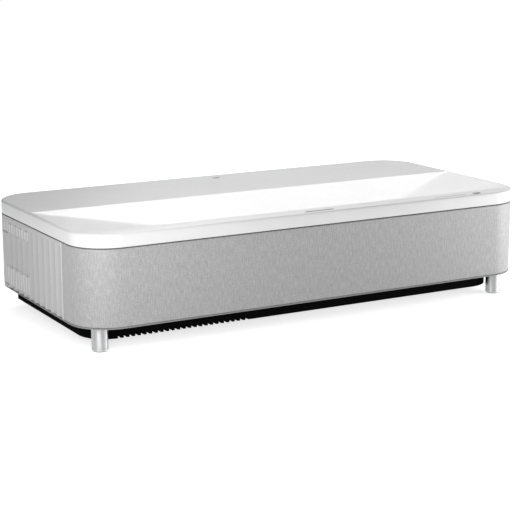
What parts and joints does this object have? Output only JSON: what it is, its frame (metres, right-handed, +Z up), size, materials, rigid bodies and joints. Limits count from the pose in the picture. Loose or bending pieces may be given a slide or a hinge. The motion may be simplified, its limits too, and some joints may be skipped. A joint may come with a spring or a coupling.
{
  "type": "home projector",
  "caption": "Low, wide home projector that stands close to a wall: cloth front, white top with a sloping hollow over the window, slotted sides, black base, screw feet.",
  "frame": {"origin": "on the floor under the middle of the case", "axes": "+X along the width, to the right as seen from the cloth front; +Y from the cloth front towards the sockets and the wall; +Z up"},
  "size_m": [0.695, 0.341, 0.157],
  "materials": {
    "white_plastic": "fine satin moulded plastic",
    "side_plastic": "matt moulded plastic, finely fluted",
    "black_plastic": "matt black moulded plastic",
    "front_cloth": "light grey speaker cloth with a fine upright weave",
    "foot_aluminium": "satin turned aluminium",
    "aluminium": "mill finish",
    "steel": "brushed",
    "copper": "bright drawn copper",
    "brass": "machined",
    "rubber": "matt",
    "circuit_board": "solder-masked board",
    "dark_glass": "polished, dark",
    "clear_glass": "polished",
    "mirror": "front-silvered",
    "filter_paper": "pleated filter paper"
  },
  "bodies": {
    "case": {"top_cover": "white_plastic", "status_light": "side_plastic", "remote_receiver": "dark_glass", "window_bezel": "black_plastic", "projection_window": "dark_glass", "front_fabric": "front_cloth", "front_grille_frame": "black_plastic", "trim_strip_left": "white_plastic", "trim_strip_right": "white_plastic", "left_side_cover": "side_plastic", "right_side_cover": "side_plastic", "rear_panel": "side_plastic", "hdmi_socket_1": "steel", "hdmi_socket_2": "steel", "usb_socket": "steel", "power_inlet": "black_plastic", "base_case": "black_plastic", "bottom_plate": "white_plastic", "rear_foot_left": "black_plastic", "rear_foot_right": "black_plastic", "rear_foot_pad_left": "rubber", "rear_foot_pad_right": "rubber", "intake_fan_frame": "black_plastic", "exhaust_fan_frame": "black_plastic", "heat_sink": "aluminium", "heat_pipe_front": "copper", "heat_pipe_rear": "copper", "laser_module": "aluminium", "phosphor_wheel_motor": "black_plastic", "optical_engine_case": "black_plastic", "colour_prism": "clear_glass", "lens_barrel": "black_plastic", "lens_front_element": "clear_glass", "focus_motor": "steel", "projection_mirror": "mirror", "mirror_bracket": "steel", "main_board": "circuit_board", "power_board": "circuit_board", "speaker_box_left": "black_plastic", "speaker_driver_left": "steel", "speaker_box_right": "black_plastic", "speaker_driver_right": "steel"},
    "foot_left": {"front_foot_left": "foot_aluminium", "front_foot_stud_left": "steel", "front_foot_pad_left": "rubber"},
    "foot_right": {"front_foot_right": "foot_aluminium", "front_foot_stud_right": "steel", "front_foot_pad_right": "rubber"},
    "power_button": {"power_button": "side_plastic"},
    "source_button": {"source_button": "side_plastic"},
    "filter_drawer": {"filter_cover": "side_plastic", "air_filter": "filter_paper"},
    "intake_rotor": {"intake_fan_rotor": "black_plastic"},
    "exhaust_rotor": {"exhaust_fan_rotor": "black_plastic"},
    "phosphor_wheel": {"phosphor_wheel": "aluminium"},
    "focus_ring": {"focus_ring": "black_plastic"},
    "focus_pinion": {"focus_pinion": "brass"},
    "cone_left": {"speaker_cone_left": "black_plastic"},
    "cone_right": {"speaker_cone_right": "black_plastic"}
  },
  "joints": [
    {"name": "foot_left_travel", "type": "slide", "parent": "case", "child": "foot_left", "axis": [0, 0, -1], "range_m": [0, 0.009]},
    {"name": "foot_right_travel", "type": "slide", "parent": "case", "child": "foot_right", "axis": [0, 0, -1], "range_m": [0, 0.009]},
    {"name": "power_button_press", "type": "slide", "parent": "case", "child": "power_button", "axis": [-1, 0, 0], "range_m": [0, 0.0012], "stiffness_N_per_m": 600},
    {"name": "source_button_press", "type": "slide", "parent": "case", "child": "source_button", "axis": [-1, 0, 0], "range_m": [0, 0.0012], "stiffness_N_per_m": 600},
    {"name": "filter_drawer_pull", "type": "slide", "parent": "case", "child": "filter_drawer", "axis": [-1, 0, 0], "range_m": [0, 0.06]},
    {"name": "intake_fan_spin", "type": "hinge", "parent": "case", "child": "intake_rotor", "pos_m": [-0.3135, 0.0715, 0.088], "axis": [1, 0, 0], "continuous": true},
    {"name": "exhaust_fan_spin", "type": "hinge", "parent": "case", "child": "exhaust_rotor", "pos_m": [0.3135, 0.0715, 0.088], "axis": [1, 0, 0], "continuous": true},
    {"name": "phosphor_wheel_spin", "type": "hinge", "parent": "case", "child": "phosphor_wheel", "pos_m": [0.0965, 0.08, 0.09], "axis": [1, 0, 0], "continuous": true},
    {"name": "focus_ring_turn", "type": "hinge", "parent": "case", "child": "focus_ring", "pos_m": [0, 0.018, 0.08], "axis": [0, 1, 0], "range_deg": [-18, 18]},
    {"name": "focus_pinion_turn", "type": "hinge", "parent": "case", "child": "focus_pinion", "pos_m": [0.0378, 0.018, 0.08], "axis": [0, 1, 0], "range_deg": [-72, 72]},
    {"name": "cone_left_stroke", "type": "slide", "parent": "case", "child": "cone_left", "axis": [0, -1, 0], "range_m": [-0.0015, 0.0015], "stiffness_N_per_m": 2000},
    {"name": "cone_right_stroke", "type": "slide", "parent": "case", "child": "cone_right", "axis": [0, -1, 0], "range_m": [-0.0015, 0.0015], "stiffness_N_per_m": 2000}
  ],
  "couplings": [
    {"joint": "focus_pinion_turn", "follows": "focus_ring_turn", "ratio": -4}
  ]
}
